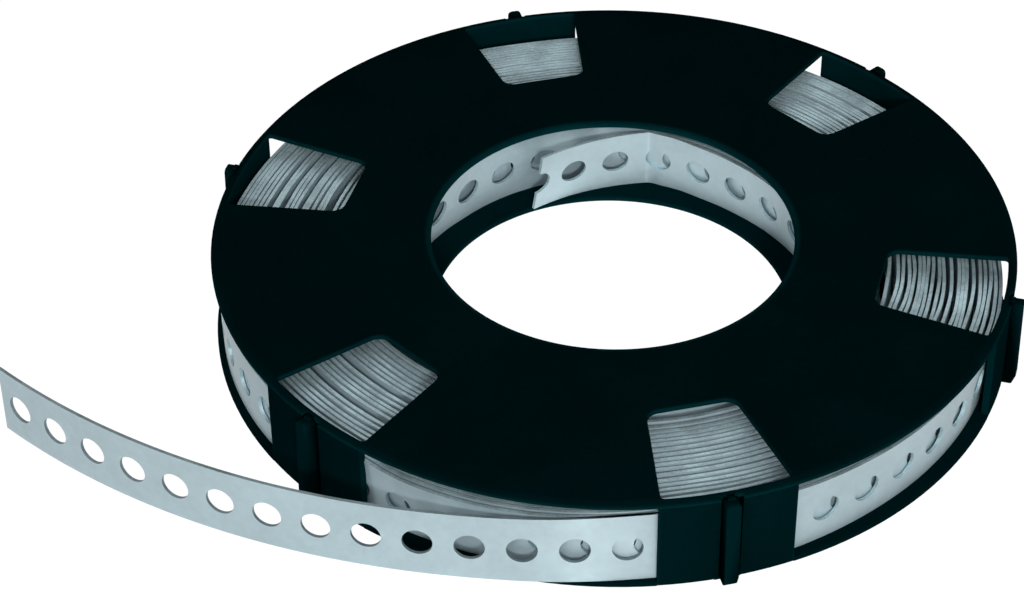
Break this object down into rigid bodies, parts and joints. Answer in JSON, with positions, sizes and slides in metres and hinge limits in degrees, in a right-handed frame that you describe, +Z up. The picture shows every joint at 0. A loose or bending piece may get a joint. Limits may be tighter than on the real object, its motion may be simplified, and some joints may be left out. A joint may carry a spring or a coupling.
{
  "type": "perforated fixing band in a cassette",
  "caption": "Galvanized perforated steel fixing band, wound up in a flat round open-centred plastic cassette with windows, its free end sprung out at the side.",
  "frame": {"origin": "on the cassette's axis, at its underside", "axes": "+Z up along the cassette's axis; the band's free outer end leaves at the front, -Y, towards -X"},
  "size_m": [0.2217, 0.18, 0.0229],
  "materials": {
    "zinc_band": "hot-dip galvanized sheet steel, bright and slightly mottled, with cut edges",
    "shell_plastic": "moulded black plastic with a faint blue-green cast, satin"
  },
  "bodies": {
    "root": {"band": "zinc_band", "upper_shell": "shell_plastic", "lower_shell": "shell_plastic"}
  },
  "joints": []
}
